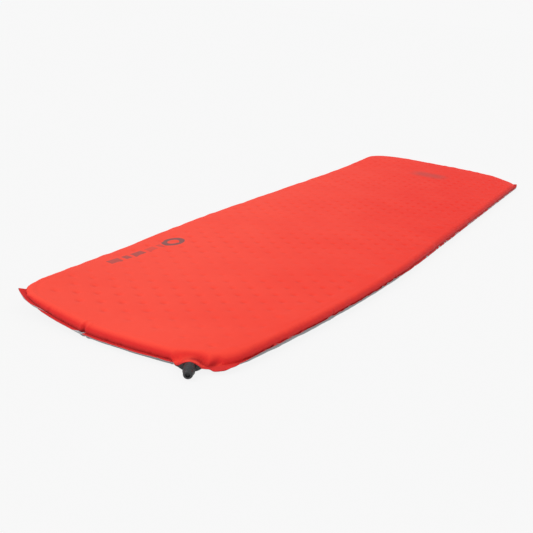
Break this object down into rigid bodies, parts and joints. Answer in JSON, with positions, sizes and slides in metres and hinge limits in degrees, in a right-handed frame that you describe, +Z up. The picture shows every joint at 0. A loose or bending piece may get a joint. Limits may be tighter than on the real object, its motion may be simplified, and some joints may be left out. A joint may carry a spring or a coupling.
{
  "type": "inflatable sleeping pad",
  "caption": "Self-inflating sleeping pad: tapered flat rectangle of coated fabric welded over a cored foam slab, with a twist valve in one foot corner.",
  "frame": {"origin": "on the ground under the middle of the pad", "axes": "+X along the pad towards the head end, +Y across it away from the valve's corner, +Z up"},
  "size_m": [1.8466, 0.51, 0.0386],
  "materials": {
    "top_fabric": "matt woven polyester",
    "bottom_fabric": "matt woven polyester",
    "foam": "open-cell polyurethane foam",
    "hard_plastic": "moulded, fine grain",
    "cap_plastic": "soft-touch moulded",
    "seal": "silicone rubber"
  },
  "bodies": {
    "pad": {"top_shell": "top_fabric", "bottom_shell": "bottom_fabric", "foam_core": "foam", "valve_body": "hard_plastic", "valve_plug": "hard_plastic", "plug_o_ring": "seal", "neck_o_ring": "seal"},
    "cap_carrier": {"cap_washer": "seal"},
    "cap": {"valve_cap": "cap_plastic"}
  },
  "joints": [
    {"name": "cap_travel", "type": "slide", "parent": "pad", "child": "cap_carrier", "axis": [-0.8829, -0.4695, 0], "range_m": [0, 0.005]},
    {"name": "cap_turn", "type": "hinge", "parent": "cap_carrier", "child": "cap", "pos_m": [-0.91801, -0.15314, 0.0095], "axis": [-0.8829, -0.4695, 0], "range_deg": [0, 360]}
  ],
  "couplings": [
    {"joint": "cap_travel", "follows": "cap_turn", "m_per_rad": 0.00079577}
  ]
}
